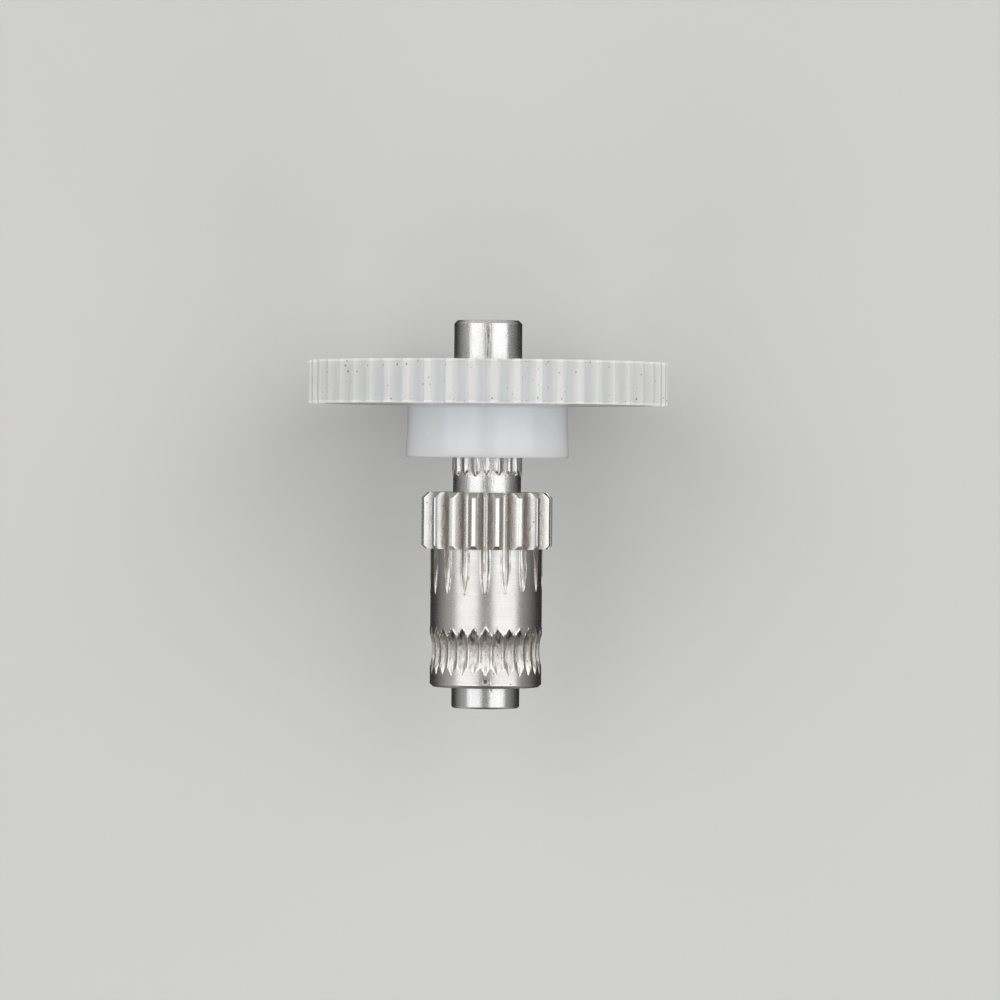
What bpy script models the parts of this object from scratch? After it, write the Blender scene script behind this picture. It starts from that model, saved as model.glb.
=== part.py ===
"""Primary shaft of a dual-drive filament extruder: a steel shaft carrying a large plastic gear and a
hobbed steel drive gear, which a set screw holds.

The shaft's axis is +Y and the centre of its drive-end face is the origin. Angles round the axis are
measured from +Z towards +X. Every length is in metres.
"""

import math

import bmesh
import bpy

MM = 0.001
TAU = math.tau

# Both gears are cut to the same basic rack.
MODULE = 0.5 * MM
PRESSURE_ANGLE = math.radians(20.0)

# Shaft
SHAFT_RADIUS = 2.5 * MM
SHAFT_LENGTH = 28.45 * MM
SHAFT_EDGE = 0.1 * MM
SHAFT_CHAMFER = 0.25 * MM
SHAFT_SIDES = 48

# Straight knurl that bites into the large gear's bore
KNURL_RIDGES = 18
KNURL_RADIUS = 2.625 * MM
KNURL_VALLEY_RADIUS = 2.46 * MM
KNURL_START = 17.08 * MM
KNURL_END = 24.6 * MM
KNURL_RUNOUT = 0.22 * MM

# Large gear, with its hub towards the drive gear
LARGE_TEETH = 51
LARGE_TIP_RADIUS = 13.2 * MM
LARGE_ROOT_RADIUS = 12.13 * MM
LARGE_START = 22.27 * MM
LARGE_END = 25.41 * MM
LARGE_GAP_ANGLE = math.radians(-1.43)
HUB_START = 18.38 * MM
HUB_FREE_RADIUS = 6.0 * MM
HUB_ROOT_RADIUS = 5.89 * MM
HUB_STRAIGHT = 0.8 * MM
HUB_EDGE = 0.2 * MM
HUB_SIDES = 96

# Drive gear: spur teeth at one end, and a hobbed filament groove near the other
DRIVE_START = 1.56 * MM
DRIVE_END = 15.83 * MM
BODY_RADIUS = 4.1 * MM
DRIVE_CHAMFER = 0.2 * MM

SPUR_TEETH = 17
SPUR_SHIFT = 0.14
SPUR_START = 11.69 * MM
SPUR_TIP_RADIUS = 4.82 * MM
SPUR_ROOT_RADIUS = 3.695 * MM
SPUR_FLOOR_WIDTH = 0.34 * MM
SPUR_END_CHAMFER = 0.4 * MM
SPUR_START_CHAMFER = 0.25 * MM
SPUR_GAP_ANGLE = math.radians(-1.1)

# Beyond the spur, the cutter that made its gaps rises out of the body along its own radius.
RUNOUT_LENGTH = 3.2 * MM
CUTTER_RADIUS = 12.3 * MM

# The groove is the inner side of a ring of circular cuts, deeper along each flute than along a ridge.
GROOVE_CENTRE = 4.19 * MM
GROOVE_AXIS_RADIUS = 8.32 * MM
GROOVE_RIDGE_CUT = 4.39 * MM
GROOVE_FLUTE_CUT = 4.568 * MM
GROOVE_FLUTES = 29
GROOVE_FLUTE_ANGLE = math.radians(0.1)

# M3 set screw through the drive gear's plain band, on a shallow flat of the shaft
SCREW_PLACE = 8.6 * MM
SCREW_RADIUS = 1.46 * MM
SCREW_HOLE_RADIUS = 1.5 * MM
SCREW_INNER_END = 2.12 * MM
SCREW_OUTER_END = 4.06 * MM
SCREW_CHAMFER = 0.14 * MM
SOCKET_ACROSS_FLATS = 1.5 * MM
SOCKET_DEPTH = 1.0 * MM
CUP_RADIUS = 0.8 * MM
CUP_DEPTH = 0.3 * MM
SCREW_SIDES = 24
FLAT_HEIGHT = 2.1 * MM
FLAT_LENGTH = 3.6 * MM

# Room between pieces that touch on the real object
FIT = 0.015 * MM


def spread(count):
    """Angles evenly spaced once round the axis."""
    return [TAU * i / count for i in range(count)]


def station(y, angles, radius):
    """A ring of (angle, radius) points at y. radius is a length, or a function of the angle."""
    reach = radius if callable(radius) else lambda angle: radius
    around = sorted(angle % TAU for angle in angles)
    return y, [(angle, reach(angle)) for angle in around]


def stitch(bm, lower, upper):
    """Fill the band between two rings of (angle, vertex), which may differ in number."""
    sizes = len(lower), len(upper)

    def angle_after(ring, step):
        turns, index = divmod(step + 1, len(ring))
        return ring[index][0] + turns * TAU

    i = j = 0
    while i < sizes[0] or j < sizes[1]:
        here_low = lower[i % sizes[0]][1]
        here_high = upper[j % sizes[1]][1]
        next_low = lower[(i + 1) % sizes[0]][1]
        next_high = upper[(j + 1) % sizes[1]][1]
        lead = angle_after(lower, i) - angle_after(upper, j)
        if i < sizes[0] and j < sizes[1] and abs(lead) < 1e-6:
            bm.faces.new((here_low, next_low, next_high, here_high))
            i += 1
            j += 1
        elif j == sizes[1] or (i < sizes[0] and lead < 0):
            bm.faces.new((here_low, next_low, here_high))
            i += 1
        else:
            bm.faces.new((here_low, next_high, here_high))
            j += 1


def skin(name, stations, bored):
    """A closed body whose surface passes through the stations in turn.

    A bored body's last station joins its first one. Any other body gets a flat cap at both ends.
    """
    bm = bmesh.new()
    rings = []
    for y, points in stations:
        ring = []
        for angle, radius in points:
            place = (radius * math.sin(angle), y, radius * math.cos(angle))
            ring.append((angle, bm.verts.new(place)))
        rings.append(ring)
    for lower, upper in zip(rings, rings[1:]):
        stitch(bm, lower, upper)
    if bored:
        stitch(bm, rings[-1], rings[0])
    else:
        for ring in (rings[0], rings[-1]):
            bm.faces.new([vertex for _, vertex in ring])
    bmesh.ops.remove_doubles(bm, verts=bm.verts, dist=0.0001 * MM)
    bmesh.ops.recalc_face_normals(bm, faces=bm.faces)
    mesh = bpy.data.meshes.new(name)
    bm.to_mesh(mesh)
    bm.free()
    mesh.shade_smooth()
    mesh.set_sharp_from_angle(angle=math.radians(28.0))
    return mesh


def place_object(name, mesh, material=None):
    piece = bpy.data.objects.new(name, mesh)
    bpy.context.scene.collection.objects.link(piece)
    if material:
        mesh.materials.append(material)
    return piece


def finish(name, colour, roughness, metallic):
    material = bpy.data.materials.new(name)
    material.use_nodes = True
    shader = material.node_tree.nodes["Principled BSDF"]
    shader.inputs["Base Color"].default_value = (*colour, 1.0)
    shader.inputs["Roughness"].default_value = roughness
    shader.inputs["Metallic"].default_value = metallic
    return material


def involute(angle):
    return math.tan(angle) - angle


def half_gap(radius, teeth, shift):
    """Half the angle of a tooth gap at a radius. Below the base circle its sides are radial."""
    pitch_radius = teeth * MODULE / 2
    base_radius = pitch_radius * math.cos(PRESSURE_ANGLE)
    flank_angle = math.acos(min(1.0, base_radius / radius))
    half_tooth = (math.pi / 2 + 2 * shift * math.tan(PRESSURE_ANGLE)) / teeth
    half_tooth += involute(PRESSURE_ANGLE) - involute(flank_angle)
    return math.pi / teeth - half_tooth


def gear_outline(teeth, shift, gap_angle, floor_width, root_radius, flank_radii):
    """{angle: radius} once round a gear, with the floor and both flanks of every gap."""
    half_profile = [(floor_width / 2 / root_radius, root_radius)]
    half_profile += [(half_gap(radius, teeth, shift), radius) for radius in flank_radii]
    outline = {}
    for tooth in range(teeth):
        middle = gap_angle + TAU * tooth / teeth
        for angle, radius in half_profile:
            outline[(middle - angle) % TAU] = radius
            outline[(middle + angle) % TAU] = radius
    return outline


def make_shaft(steel):
    """Chamfered round bar with a knurled band, and a flat where the set screw bites."""
    round_angles = spread(SHAFT_SIDES)
    knurl_angles = spread(KNURL_RIDGES * 4)

    def ridged(angle):
        middle = (KNURL_RADIUS + KNURL_VALLEY_RADIUS) / 2
        return middle + (KNURL_RADIUS - middle) * math.cos(KNURL_RIDGES * angle)

    def flattened(angle):
        facing_screw = -math.cos(angle)
        if facing_screw * SHAFT_RADIUS <= FLAT_HEIGHT:
            return SHAFT_RADIUS
        return FLAT_HEIGHT / facing_screw

    flat_start = SCREW_PLACE - FLAT_LENGTH / 2
    flat_end = SCREW_PLACE + FLAT_LENGTH / 2
    stations = [
        station(0.0, round_angles, SHAFT_RADIUS - SHAFT_EDGE),
        station(SHAFT_EDGE, round_angles, SHAFT_RADIUS),
        station(flat_start, round_angles, SHAFT_RADIUS),
        station(flat_start, round_angles, flattened),
        station(flat_end, round_angles, flattened),
        station(flat_end, round_angles, SHAFT_RADIUS),
        station(KNURL_START, knurl_angles, SHAFT_RADIUS),
        station(KNURL_START + KNURL_RUNOUT, knurl_angles, ridged),
        station(KNURL_END - KNURL_RUNOUT, knurl_angles, ridged),
        station(KNURL_END, knurl_angles, SHAFT_RADIUS),
        station(SHAFT_LENGTH - SHAFT_CHAMFER, round_angles, SHAFT_RADIUS),
        station(SHAFT_LENGTH, round_angles, SHAFT_RADIUS - SHAFT_CHAMFER),
    ]
    return place_object("shaft", skin("shaft", stations, bored=False), steel)


def make_large_gear(plastic):
    """Spur gear and flared hub in one piece. Its bore is wide over the knurl and close beyond it."""
    hub_angles = spread(HUB_SIDES)
    bore_angles = spread(KNURL_RIDGES * 4)
    outline = gear_outline(
        teeth=LARGE_TEETH,
        shift=0.0,
        gap_angle=LARGE_GAP_ANGLE,
        floor_width=0.5 * MODULE,
        root_radius=LARGE_ROOT_RADIUS,
        flank_radii=(LARGE_TEETH * MODULE / 2, LARGE_TIP_RADIUS),
    )
    bore_over_knurl = KNURL_RADIUS + FIT
    bore_over_shaft = SHAFT_RADIUS + FIT
    stations = [
        station(HUB_START, bore_angles, bore_over_knurl),
        station(HUB_START, hub_angles, HUB_FREE_RADIUS - HUB_EDGE),
        station(HUB_START + HUB_EDGE, hub_angles, HUB_FREE_RADIUS),
        station(LARGE_START - HUB_STRAIGHT, hub_angles, HUB_ROOT_RADIUS),
        station(LARGE_START, hub_angles, HUB_ROOT_RADIUS),
        station(LARGE_START, outline, outline.get),
        station(LARGE_END, outline, outline.get),
        station(LARGE_END, bore_angles, bore_over_shaft),
        station(KNURL_END + FIT, bore_angles, bore_over_shaft),
        station(KNURL_END + FIT, bore_angles, bore_over_knurl),
    ]
    return place_object("large_gear", skin("large_gear", stations, bored=True), plastic)


def groove_stations(angles):
    """Rings along the hobbed filament groove, from its lower edge to its upper edge."""

    def cut_radius(angle):
        swing = math.cos(GROOVE_FLUTES * (angle - GROOVE_FLUTE_ANGLE))
        return GROOVE_RIDGE_CUT + (GROOVE_FLUTE_CUT - GROOVE_RIDGE_CUT) * (1 + swing) / 2

    def half_length(cut):
        return math.sqrt(cut**2 - (GROOVE_AXIS_RADIUS - BODY_RADIUS) ** 2)

    flute_end = half_length(GROOVE_FLUTE_CUT)
    ridge_end = half_length(GROOVE_RIDGE_CUT)
    rings = []
    for offset in (-flute_end, -ridge_end, -ridge_end / 2, 0.0, ridge_end / 2, ridge_end, flute_end):

        def surface(angle, offset=offset):
            depth = math.sqrt(cut_radius(angle) ** 2 - offset**2)
            return min(BODY_RADIUS, GROOVE_AXIS_RADIUS - depth)

        rings.append(station(GROOVE_CENTRE + offset, angles, surface))
    return rings


def spur_stations(outline):
    """Rings along the cutter's run-out and the spur teeth, with both ends of the tips chamfered."""

    def trimmed(y, limit, lift=0.0):
        return station(y, outline, lambda angle: min(limit, outline[angle] + lift))

    runout_end = SPUR_START - RUNOUT_LENGTH
    full_lift = BODY_RADIUS - SPUR_ROOT_RADIUS
    cutter_place = runout_end + math.sqrt(CUTTER_RADIUS**2 - (CUTTER_RADIUS - full_lift) ** 2)
    rings = []
    for share in (0.0, 0.3, 0.6):
        y = runout_end + share * RUNOUT_LENGTH
        lift = CUTTER_RADIUS - math.sqrt(CUTTER_RADIUS**2 - (cutter_place - y) ** 2)
        rings.append(trimmed(y, BODY_RADIUS, lift))
    rings += [
        trimmed(SPUR_START, BODY_RADIUS),
        trimmed(SPUR_START, SPUR_TIP_RADIUS - SPUR_START_CHAMFER),
        trimmed(SPUR_START + SPUR_START_CHAMFER, SPUR_TIP_RADIUS),
        trimmed(DRIVE_END - SPUR_END_CHAMFER, SPUR_TIP_RADIUS),
        trimmed(DRIVE_END, SPUR_TIP_RADIUS - SPUR_END_CHAMFER),
    ]
    return rings


def make_drive_gear(steel):
    """Bored body with the groove and the spur, drilled across for the set screw."""
    bore_angles = spread(SHAFT_SIDES)
    flute_angles = [GROOVE_FLUTE_ANGLE + angle for angle in spread(GROOVE_FLUTES * 4)]
    bore_radius = SHAFT_RADIUS + FIT
    outline = gear_outline(
        teeth=SPUR_TEETH,
        shift=SPUR_SHIFT,
        gap_angle=SPUR_GAP_ANGLE,
        floor_width=SPUR_FLOOR_WIDTH,
        root_radius=SPUR_ROOT_RADIUS,
        flank_radii=(SPUR_TEETH * MODULE / 2 * math.cos(PRESSURE_ANGLE), BODY_RADIUS, SPUR_TIP_RADIUS),
    )
    stations = [
        station(DRIVE_START, bore_angles, bore_radius),
        station(DRIVE_START, flute_angles, BODY_RADIUS - DRIVE_CHAMFER),
        station(DRIVE_START + DRIVE_CHAMFER, flute_angles, BODY_RADIUS),
        *groove_stations(flute_angles),
        *spur_stations(outline),
        station(DRIVE_END, bore_angles, bore_radius),
    ]
    gear = place_object("drive_gear", skin("drive_gear", stations, bored=True), steel)
    drill = make_screw_drill()
    cut = gear.modifiers.new("set screw hole", "BOOLEAN")
    cut.operation = "DIFFERENCE"
    cut.solver = "EXACT"
    cut.object = drill
    return gear


def point_backwards(piece):
    """Turn a piece made along +Y so that it runs from the shaft's axis along -Z."""
    piece.rotation_euler = (-math.pi / 2, 0.0, 0.0)
    piece.location = (0.0, SCREW_PLACE, 0.0)


def make_screw_drill():
    """Cutter for the set screw's hole, from inside the bore to beyond the body."""
    angles = spread(SCREW_SIDES)
    stations = [
        station(SHAFT_RADIUS / 2, angles, SCREW_HOLE_RADIUS),
        station(BODY_RADIUS * 1.3, angles, SCREW_HOLE_RADIUS),
    ]
    drill = place_object("screw_drill", skin("screw_drill", stations, bored=False))
    point_backwards(drill)
    drill.hide_render = True
    drill.display_type = "WIRE"
    return drill


def make_set_screw(steel):
    """Grub screw with a hexagon socket at its outer end and a cup point on the shaft."""
    angles = spread(SCREW_SIDES)

    def socket(angle):
        from_flat = (angle % (TAU / 6)) - TAU / 12
        return SOCKET_ACROSS_FLATS / 2 / math.cos(from_flat)

    stations = [
        station(SCREW_OUTER_END - SOCKET_DEPTH, angles, socket),
        station(SCREW_OUTER_END, angles, socket),
        station(SCREW_OUTER_END, angles, SCREW_RADIUS - SCREW_CHAMFER),
        station(SCREW_OUTER_END - SCREW_CHAMFER, angles, SCREW_RADIUS),
        station(SCREW_INNER_END + CUP_DEPTH, angles, SCREW_RADIUS),
        station(SCREW_INNER_END, angles, CUP_RADIUS),
        station(SCREW_INNER_END + CUP_DEPTH, angles, CUP_RADIUS / 3),
    ]
    screw = place_object("set_screw", skin("set_screw", stations, bored=False), steel)
    point_backwards(screw)
    return screw


def main():
    for leftover in list(bpy.data.objects):
        bpy.data.objects.remove(leftover, do_unlink=True)
    make_shaft(finish("shaft_steel", (0.72, 0.71, 0.70), roughness=0.25, metallic=1.0))
    make_large_gear(finish("natural_plastic", (0.86, 0.86, 0.82), roughness=0.45, metallic=0.0))
    make_drive_gear(finish("gear_steel", (0.70, 0.67, 0.63), roughness=0.35, metallic=1.0))
    make_set_screw(finish("black_oxide_steel", (0.06, 0.06, 0.065), roughness=0.4, metallic=1.0))


main()
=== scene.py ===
"""The looks of an extruder's primary shaft: a ground steel shaft, a large natural plastic gear, a
hobbed steel drive gear and its set screw, on a pale floor under two soft boxes.

The shaft's axis is +Y. Angles round it are measured from +Z, which faces the camera, towards +X.
Lengths are in metres, and shader patterns are sized in millimetres.
"""

import math

import bmesh
import bpy
import numpy as np
from mathutils import Matrix, Vector


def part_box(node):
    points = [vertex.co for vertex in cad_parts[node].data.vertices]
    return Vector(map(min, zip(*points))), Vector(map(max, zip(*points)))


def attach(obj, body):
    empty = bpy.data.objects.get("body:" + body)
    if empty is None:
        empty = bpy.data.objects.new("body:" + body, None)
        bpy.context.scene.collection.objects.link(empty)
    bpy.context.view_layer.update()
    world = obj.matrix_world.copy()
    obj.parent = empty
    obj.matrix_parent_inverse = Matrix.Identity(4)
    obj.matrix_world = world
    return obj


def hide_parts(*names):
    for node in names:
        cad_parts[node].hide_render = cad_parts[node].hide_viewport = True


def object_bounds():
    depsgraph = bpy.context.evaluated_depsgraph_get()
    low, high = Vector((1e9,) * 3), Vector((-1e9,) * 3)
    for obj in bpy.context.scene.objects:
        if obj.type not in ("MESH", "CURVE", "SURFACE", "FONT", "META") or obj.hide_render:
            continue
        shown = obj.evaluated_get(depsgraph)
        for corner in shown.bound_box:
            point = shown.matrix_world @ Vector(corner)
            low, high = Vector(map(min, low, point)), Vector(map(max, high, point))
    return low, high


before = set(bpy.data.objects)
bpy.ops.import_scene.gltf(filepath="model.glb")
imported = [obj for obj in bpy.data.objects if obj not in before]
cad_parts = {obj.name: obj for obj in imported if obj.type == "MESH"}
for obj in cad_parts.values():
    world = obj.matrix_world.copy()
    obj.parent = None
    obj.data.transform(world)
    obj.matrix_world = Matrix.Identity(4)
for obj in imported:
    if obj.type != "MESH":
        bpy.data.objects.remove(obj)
CAD_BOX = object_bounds()

MM = 0.001
TAU = math.tau

# Seeds of the random draws, and of the noise on each surface
KNURL_DRAWS, KNURL_NOISE, RIM_NOISE, HUB_NOISE, FLUTE_DRAWS, GROOVE_NOISE = range(11, 17)
SPUR_NOISE, BURR_NOISE, REFLECTION_STREAK_NOISE, SOOT_NOISE, RESIDUE_NOISE = range(17, 22)

# Both gears are cut to the same basic rack.
MODULE = 0.5 * MM
PRESSURE_ANGLE = math.radians(20.0)

# Where the pieces start and end along the axis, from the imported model
SHAFT_START, SHAFT_END = (corner.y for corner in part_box("shaft"))
HUB_START, LARGE_END = (corner.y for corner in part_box("large_gear"))
DRIVE_START, DRIVE_END = (corner.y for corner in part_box("drive_gear"))
SCREW_PLACE = sum(corner.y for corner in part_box("set_screw")) / 2

# Shaft
SHAFT_RADIUS = 2.5 * MM
SHAFT_EDGE = 0.1 * MM
SHAFT_CHAMFER = 0.25 * MM
SHAFT_BORE_GAP = 0.015 * MM
FLAT_HEIGHT = 2.1 * MM
FLAT_LENGTH = 3.6 * MM
FLAT_STEP = 0.01 * MM
KNURL_RIDGES = 18
KNURL_RADIUS = 2.625 * MM
KNURL_START = DRIVE_END + 1.25 * MM
KNURL_END = KNURL_START + 7.52 * MM
KNURL_POINT = 0.35 * MM
KNURL_RAMP = 0.09 * MM
KNURL_TOP_SHARE = 0.92
SHAFT_COLUMNS = KNURL_RIDGES * 32
NOTCH_PLACE_X = 0.42 * MM
NOTCH_DEPTH = 0.02 * MM

# Large gear
LARGE_TEETH = 51
LARGE_TIP_RADIUS = 13.2 * MM
LARGE_ROOT_RADIUS = 12.13 * MM
LARGE_START = LARGE_END - 3.14 * MM
LARGE_FLOOR = (0.25 * MM, 0.19 * MM)
LARGE_GAP_ANGLE = math.radians(-1.43)
LARGE_EDGE = 0.07 * MM
LARGE_RAGGEDNESS = 0.006 * MM
HUB_FREE_RADIUS = 6.0 * MM
HUB_ROOT_RADIUS = 5.89 * MM
HUB_STRAIGHT = 0.8 * MM
HUB_EDGE = 0.2 * MM
HUB_FILLET = 0.14 * MM
BORE_OVER_KNURL = KNURL_RADIUS + SHAFT_BORE_GAP
BORE_OVER_SHAFT = SHAFT_RADIUS + SHAFT_BORE_GAP

# Drive gear
BODY_RADIUS = 4.1 * MM
DRIVE_CHAMFER = 0.2 * MM
SPUR_TEETH = 17
SPUR_SHIFT = 0.14
SPUR_TIP_RADIUS = 4.82 * MM
SPUR_ROOT_RADIUS = 3.695 * MM
SPUR_FLOOR = (0.26 * MM, 0.2 * MM)
SPUR_START = DRIVE_END - 4.14 * MM
SPUR_END_CHAMFER = 0.4 * MM
SPUR_START_CHAMFER = 0.25 * MM
SPUR_GAP_ANGLE = math.radians(-1.1)
UNDERCUT_REACH = 0.3 * MM
EDGE_WIDTH = 0.045 * MM
RUNOUT_START = SPUR_START - 3.2 * MM
RUNOUT_ADVANCE = 0.7 * MM
RUNOUT_TAPER = 1.7 * MM
CUTTER_RADIUS = 12.3 * MM
GROOVE_CENTRE = DRIVE_START + 2.63 * MM
GROOVE_AXIS_RADIUS = 8.32 * MM
GROOVE_RIDGE_CUT = 4.39 * MM
GROOVE_FLUTE_CUT = 4.568 * MM
GROOVE_FLUTES = 29
GROOVE_FLUTE_ANGLE = math.radians(0.1)
GROOVE_ROUGHNESS = 0.01 * MM
GROOVE_LIP = 0.022 * MM
GROOVE_BURR = 0.024 * MM
NICK_PLACE = DRIVE_START + 0.49 * MM
NICK_DEPTH = 0.03 * MM

# Set screw
SCREW_RADIUS = 1.46 * MM
SCREW_HOLE_RADIUS = 1.5 * MM
SCREW_OUTER_END = -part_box("set_screw")[0].z
SCREW_INNER_END = -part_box("set_screw")[1].z
THREAD_PITCH = 0.5 * MM
SOCKET_ACROSS_FLATS = 1.5 * MM
SOCKET_DEPTH = 1.0 * MM
CUP_RADIUS = 0.8 * MM
CUP_DEPTH = 0.3 * MM
SCREW_COLUMNS = 96
DRILL_COLUMNS = 64


# ---------------------------------------------------------------- meshes


def shaded(name, mesh, sharp_degrees=32.0):
    """The mesh as a scene object, smooth except across its sharp edges."""
    mesh.shade_smooth()
    mesh.set_sharp_from_angle(angle=math.radians(sharp_degrees))
    piece = bpy.data.objects.new(name, mesh)
    bpy.context.scene.collection.objects.link(piece)
    return piece


def skin(name, rows, bored):
    """A closed mesh through rows of points round the axis.

    A row is (y, angles, radii, cavity), and every row has the same number of angles. cavity is a
    number or an array that the shaders read, as cavity_of says. A bored body's last row joins its
    first one. Any other body's end rows have radius 0.
    """
    count = len(rows[0][1])
    places, cavities = [], []
    for y, angles, radii, cavity in rows:
        radii = np.broadcast_to(radii, (count,))
        along = np.broadcast_to(y, (count,))
        places.append(np.stack([radii * np.sin(angles), along, radii * np.cos(angles)], axis=1))
        cavities.append(np.broadcast_to(cavity, (count,)))
    places = np.concatenate(places)
    bands = len(rows) if bored else len(rows) - 1
    low = np.arange(bands)[:, None] * count
    high = (np.arange(bands)[:, None] + 1) % len(rows) * count
    here = np.arange(count)[None, :]
    after = (here + 1) % count
    faces = np.stack([low + here, low + after, high + after, high + here], axis=2).reshape(-1, 4)

    mesh = bpy.data.meshes.new(name)
    mesh.vertices.add(len(places))
    mesh.vertices.foreach_set("co", places.astype(np.float32).ravel())
    mesh.loops.add(faces.size)
    mesh.loops.foreach_set("vertex_index", faces.astype(np.int32).ravel())
    mesh.polygons.add(len(faces))
    mesh.polygons.foreach_set("loop_start", np.arange(0, faces.size, 4, dtype=np.int32))
    mesh.update(calc_edges=True)
    layer = mesh.attributes.new("cavity", "FLOAT", "POINT")
    layer.data.foreach_set("value", np.concatenate(cavities).astype(np.float32))

    tidy = bmesh.new()
    tidy.from_mesh(mesh)
    bmesh.ops.remove_doubles(tidy, verts=tidy.verts, dist=0.0002 * MM)
    bmesh.ops.dissolve_degenerate(tidy, edges=tidy.edges, dist=0.0002 * MM)
    bmesh.ops.recalc_face_normals(tidy, faces=tidy.faces)
    tidy.to_mesh(mesh)
    tidy.free()
    return mesh


def even_angles(count, start=0.0):
    return start + TAU * np.arange(count) / count


def waves(angles, y, seed, around, along, count=7):
    """Smooth noise from -1 to 1 over a turned surface, as a sum of waves that close round the axis."""
    dice = np.random.default_rng(seed)
    total = np.zeros(np.broadcast(angles, y).shape)
    for _ in range(count):
        turns = dice.integers(-around, around + 1)
        pitch = dice.uniform(-along, along) / MM
        total += np.sin(turns * angles + TAU * pitch * y + dice.uniform(0, TAU))
    return total / count


def involute(angle):
    return np.tan(angle) - angle


class GearGap:
    """Half of a tooth gap as a path from the middle of its floor up one flank to the tip.

    The floor is half an ellipse, and the flank above it an involute. Points are found by their length
    along the path, so a column of the mesh can keep its place on the flank while the tip circle or
    the cutter's lift changes from row to row.
    """

    def __init__(self, teeth, shift, first_angle, radii, floor, undercut=0.0):
        """first_angle is the middle of one gap. floor is (half width, rise).

        radii are those of the root, the flank's start and the tip.
        """
        self.teeth = teeth
        self.first_angle = first_angle
        root_radius, flank_radius, tip_radius = radii
        half_width, rise = floor
        base_radius = teeth * MODULE / 2 * math.cos(PRESSURE_ANGLE)
        half_tooth = (math.pi / 2 + 2 * shift * math.tan(PRESSURE_ANGLE)) / teeth
        half_tooth += involute(PRESSURE_ANGLE)

        turn = np.linspace(0, math.pi / 2, 24)
        floor_radii = root_radius + rise * (1 - np.cos(turn))
        flank_radii = np.linspace(flank_radius, tip_radius, 60)
        flank = math.pi / teeth - half_tooth + involute(np.arccos(base_radius / flank_radii))
        fade = np.clip(1 - (flank_radii - flank_radius) / UNDERCUT_REACH, 0, 1)
        flank = flank - undercut * fade / flank_radii
        self.radii = np.concatenate([floor_radii, flank_radii])
        self.angles = np.concatenate([half_width * np.sin(turn) / floor_radii, flank])
        self.angles = np.maximum.accumulate(self.angles)
        steps = np.hypot(np.diff(self.radii), np.diff(self.angles) * self.radii[1:])
        self.lengths = np.concatenate([[0], np.cumsum(steps)])
        self.floor_end = self.lengths[len(turn)]

    def length_at(self, radius):
        """Path length at which the path reaches a radius, and 0 below the floor."""
        return float(np.interp(radius, self.radii, self.lengths, left=0.0))

    def at(self, lengths):
        """(angles, radii) of the points at these lengths along the path."""
        angles = np.interp(lengths, self.lengths, self.angles)
        return angles, np.interp(lengths, self.lengths, self.radii)

    def lay_columns(self, body_radius, floor_steps, flank_steps, land_steps):
        """Sets where the mesh's columns lie on the path, one of them where it leaves the body."""
        corner = self.length_at(body_radius)
        floor = np.linspace(0, self.floor_end, floor_steps + 1)[1:]
        flank = np.linspace(self.floor_end, self.lengths[-1], flank_steps + 1)[1:]
        if self.floor_end < corner < self.lengths[-1]:
            flank[np.argmin(np.abs(flank - corner))] = corner
        self.columns = np.concatenate([floor, flank])
        self.land_steps = land_steps

    def side(self, outer_radius, lift, narrowing, rises):
        """(angles, radii) from beside the floor's middle to beside the middle of the tooth's land.

        narrowing is the share of its full width that the gap has. rises are what is added to the
        radii where the flank ends and where the land starts.
        """
        corner = self.length_at(outer_radius - lift)
        angles, radii = self.at(np.minimum(self.columns, corner))
        angles = angles * narrowing
        edge = angles[-1]
        if corner <= 0:
            radii = np.full_like(radii, outer_radius - lift)
        steps = np.arange(self.land_steps) + 1
        land = edge + (math.pi / self.teeth - edge) * steps / (self.land_steps + 0.5)
        radii = radii + lift
        land_radii = np.full(self.land_steps, outer_radius)
        if corner > 0:
            land[0] = edge + EDGE_WIDTH / outer_radius
            land_radii[0] += rises[1]
            radii[np.minimum(self.columns, corner) == corner] += rises[0]
        return np.concatenate([angles, land]), np.concatenate([radii, land_radii])

    def row(self, outer_radius, lifts=0.0, rises=(0.0, 0.0), narrowing=1.0):
        """(angles, radii, depth in the gap from 0 to 1) once round the axis.

        lifts says how far the cutter is raised out of each gap, and narrowing how wide each gap is.
        """
        all_angles, all_radii = [], []
        lifts = np.broadcast_to(lifts, (self.teeth,))
        narrowing = np.broadcast_to(narrowing, (self.teeth,))
        for gap, lift in enumerate(lifts):
            angles, radii = self.side(outer_radius, lift, narrowing[gap], rises)
            floor_radius = min(self.radii[0] + lift, outer_radius)
            middle = self.first_angle + TAU * gap / self.teeth
            all_angles.append(middle + np.concatenate([-angles[::-1], [0], angles]))
            all_radii.append(np.concatenate([radii[::-1], [floor_radius], radii]))
        all_radii = np.concatenate(all_radii)
        depth = np.clip((outer_radius - all_radii) / (self.radii[-1] - self.radii[0]), 0, 1)
        return np.concatenate(all_angles), all_radii, depth


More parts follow.
